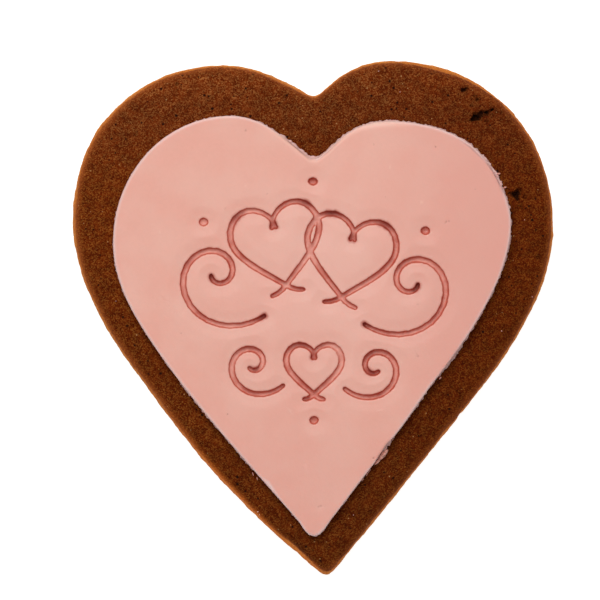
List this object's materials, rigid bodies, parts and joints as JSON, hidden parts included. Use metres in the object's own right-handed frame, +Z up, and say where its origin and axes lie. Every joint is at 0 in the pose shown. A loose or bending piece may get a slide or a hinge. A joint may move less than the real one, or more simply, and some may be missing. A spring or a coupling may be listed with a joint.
{
  "type": "heart biscuit with pressed icing",
  "caption": "Flat heart of baked gingerbread under a smaller heart of smooth pink icing, pressed with a thin-line ornament of hearts, scrolls and dots; it lies flat, face up.",
  "frame": {"origin": "on the supporting surface, under the middle of the biscuit's bounding box", "axes": "+Z up out of the decorated face, +Y from the heart's tip to its cleft, +X to the right seen from above"},
  "size_m": [0.09, 0.0962, 0.0087],
  "materials": {
    "gingerbread": "baked gingerbread crumb, dry and matte, fine sandy grain; matte_plastic stands in for it",
    "pink_icing": "rolled sugar icing, satin and slightly waxy; matte_plastic stands in for it"
  },
  "bodies": {
    "root": {"gingerbread_heart": "gingerbread", "icing_heart": "pink_icing"}
  },
  "joints": []
}
